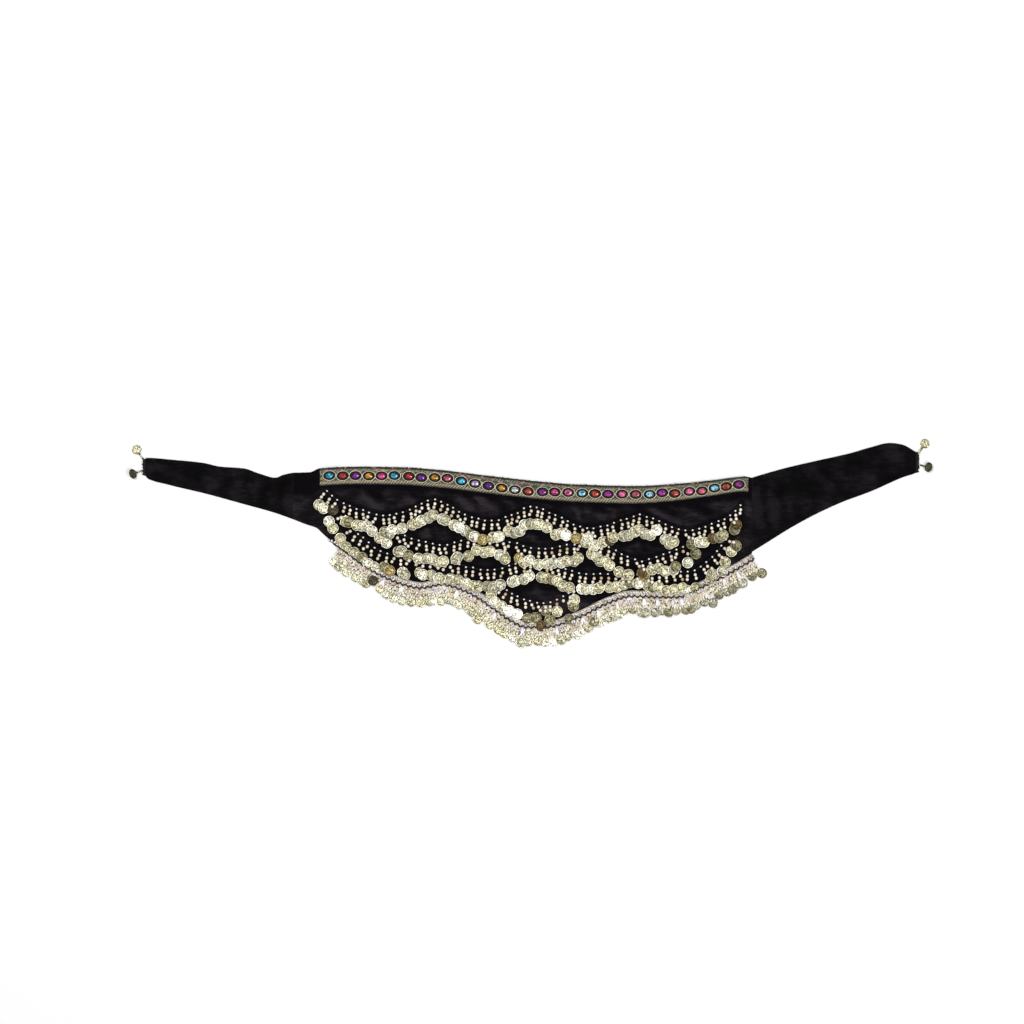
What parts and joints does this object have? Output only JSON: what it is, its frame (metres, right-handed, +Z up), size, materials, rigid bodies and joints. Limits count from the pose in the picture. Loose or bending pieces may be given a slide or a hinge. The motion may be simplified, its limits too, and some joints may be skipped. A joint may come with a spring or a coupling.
{
  "type": "belly dance hip scarf laid flat",
  "caption": "Black velvet hip scarf laid flat, with two ties, a jewelled braid at the waist, scalloped garlands of beads and coins, and a coin-fringed hem",
  "frame": {"origin": "centre of the bounding box, on the surface that the scarf lies on", "axes": "+X from the left tie to the right tie, +Y towards the waist edge, +Z up from the surface"},
  "size_m": [1.4554, 0.3742, 0.0089],
  "materials": {
    "velvet": "black pile velvet",
    "braid": "woven metallic ribbon with set glass stones",
    "coins": "thin stamped coins, pale champagne gilt",
    "crochet": "crochet with pearly beads",
    "overstitch": "black overstitching"
  },
  "bodies": {
    "root": {"centre_panel": "velvet", "tie_left": "velvet", "tie_right": "velvet", "jewel_braid": "braid", "garland_a": "coins", "garland_b": "coins", "garland_c": "coins", "garland_d": "coins", "hem_fringe": "crochet", "tie_end_left": "overstitch", "tie_end_right": "overstitch"}
  },
  "joints": []
}
